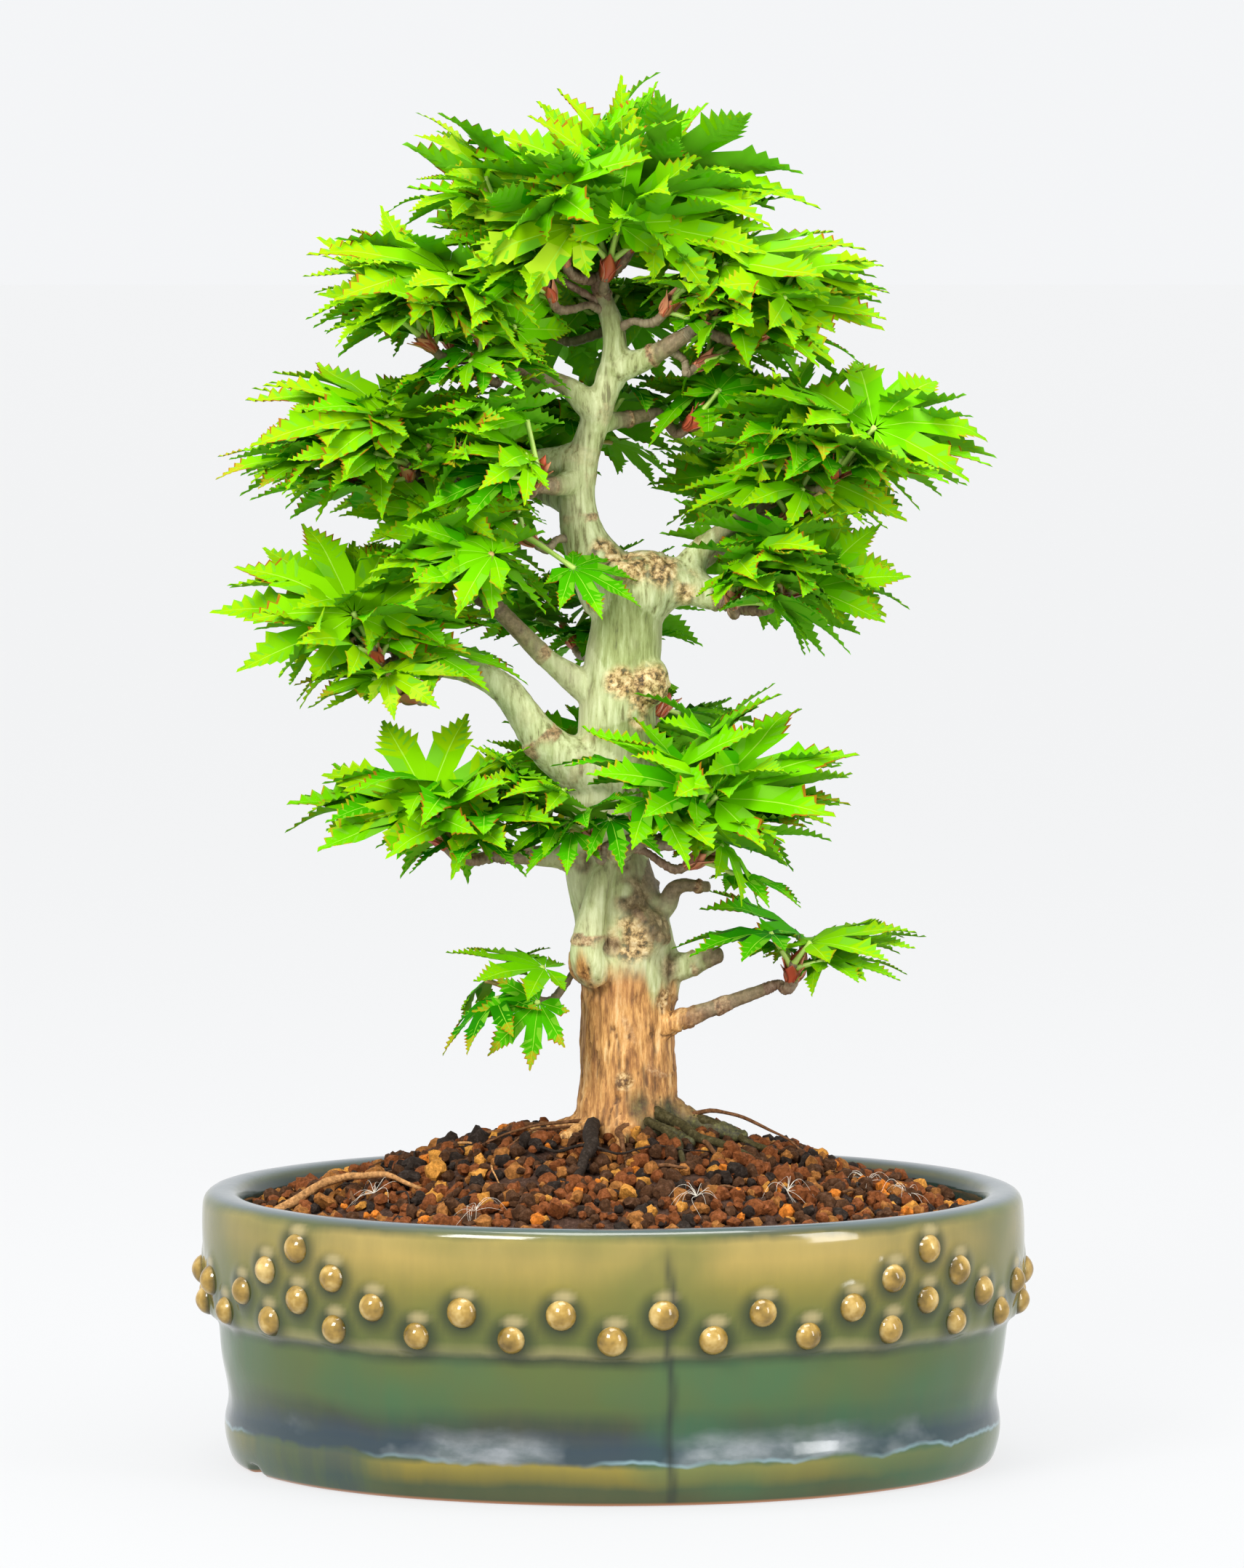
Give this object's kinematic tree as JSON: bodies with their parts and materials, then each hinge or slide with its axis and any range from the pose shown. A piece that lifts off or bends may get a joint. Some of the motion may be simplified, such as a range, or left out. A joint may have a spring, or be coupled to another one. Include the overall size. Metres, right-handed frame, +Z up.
{
  "type": "japanese maple bonsai",
  "caption": "Dwarf Japanese maple trained as an upright bonsai with a full leafy crown, in an oval glazed drum pot of soil with rows of round nails.",
  "frame": {"origin": "on the surface that the pot stands on, under the middle of the oval pot", "axes": "+Z up along the trunk, +X to the right along the pot's length, -Y towards the front that the tree is seen from"},
  "size_m": [0.2228, 0.1872, 0.3716],
  "materials": {
    "pot": "olive-gold over dark green gloss glaze",
    "soil": "loose red-brown grains",
    "trunk": "rough fibrous bark below, smoother grey-green above",
    "bough": "smooth grey-green bark",
    "foliage": "thin satin leaves"
  },
  "bodies": {
    "root": {"pot": "pot", "soil": "soil", "trunk": "trunk", "leader": "bough", "bough_upper_left": "bough", "bough_upper_right": "bough", "bough_right_inner": "bough", "bough_left_inner": "bough", "bough_left_mid": "bough", "bough_left_low_inner": "bough", "bough_left_low": "bough", "bough_right": "bough", "bough_right_rise": "bough", "bough_right_back": "bough", "bough_back_left": "bough", "bough_back_top": "bough", "bough_back_mid": "bough", "bough_back_low": "bough", "bough_front_low": "bough", "bough_left_bottom": "bough", "bough_right_low": "bough", "spur_right_up": "bough", "spur_right": "bough", "foliage_apex": "foliage", "foliage_upper_left": "foliage", "foliage_upper_right": "foliage", "foliage_far_right": "foliage", "foliage_right_inner": "foliage", "foliage_right_low": "foliage", "foliage_left_mid": "foliage", "foliage_left_inner": "foliage", "foliage_left_low": "foliage", "foliage_left_low_inner": "foliage", "foliage_front_low": "foliage", "foliage_left_bottom": "foliage", "foliage_right_bottom": "foliage", "foliage_left_sprout": "foliage", "foliage_back_top": "foliage", "foliage_back_left": "foliage", "foliage_back_right": "foliage", "foliage_back_mid": "foliage", "foliage_back_low": "foliage"}
  },
  "joints": []
}
